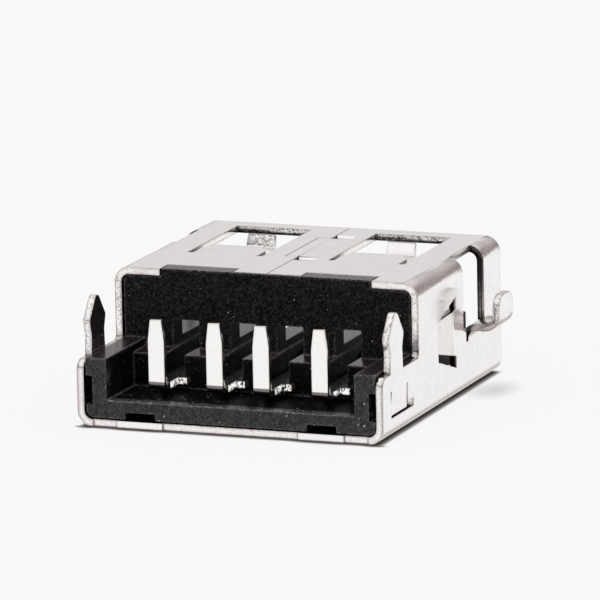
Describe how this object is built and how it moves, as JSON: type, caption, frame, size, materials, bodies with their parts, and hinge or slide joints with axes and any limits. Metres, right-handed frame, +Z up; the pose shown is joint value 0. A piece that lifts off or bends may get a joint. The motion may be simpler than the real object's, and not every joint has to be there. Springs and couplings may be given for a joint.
{
  "type": "usb socket",
  "caption": "Flat four-contact plug socket for a board-edge cut-out: folded metal shell with leaf springs and locking legs around a black insulator with bent contact tails.",
  "frame": {"origin": "middle of the overall box in X and Y, on the flat face that the socket lies on", "axes": "+Y along the plug's way out of the mouth, +Z up to the board side where the tails and locking legs point, +X across the mouth, to the right seen from the rear"},
  "size_m": [0.0158, 0.014, 0.0057],
  "materials": {
    "shell_metal": "bright nickel plate on cold-rolled sheet",
    "insulator_plastic": "fine spark-eroded mould texture",
    "contact_metal": "bright tin plate"
  },
  "bodies": {
    "root": {"shield_shell": "shell_metal", "insulator_housing": "insulator_plastic", "vbus_contact": "contact_metal", "data_minus_contact": "contact_metal", "data_plus_contact": "contact_metal", "ground_contact": "contact_metal"}
  },
  "joints": []
}
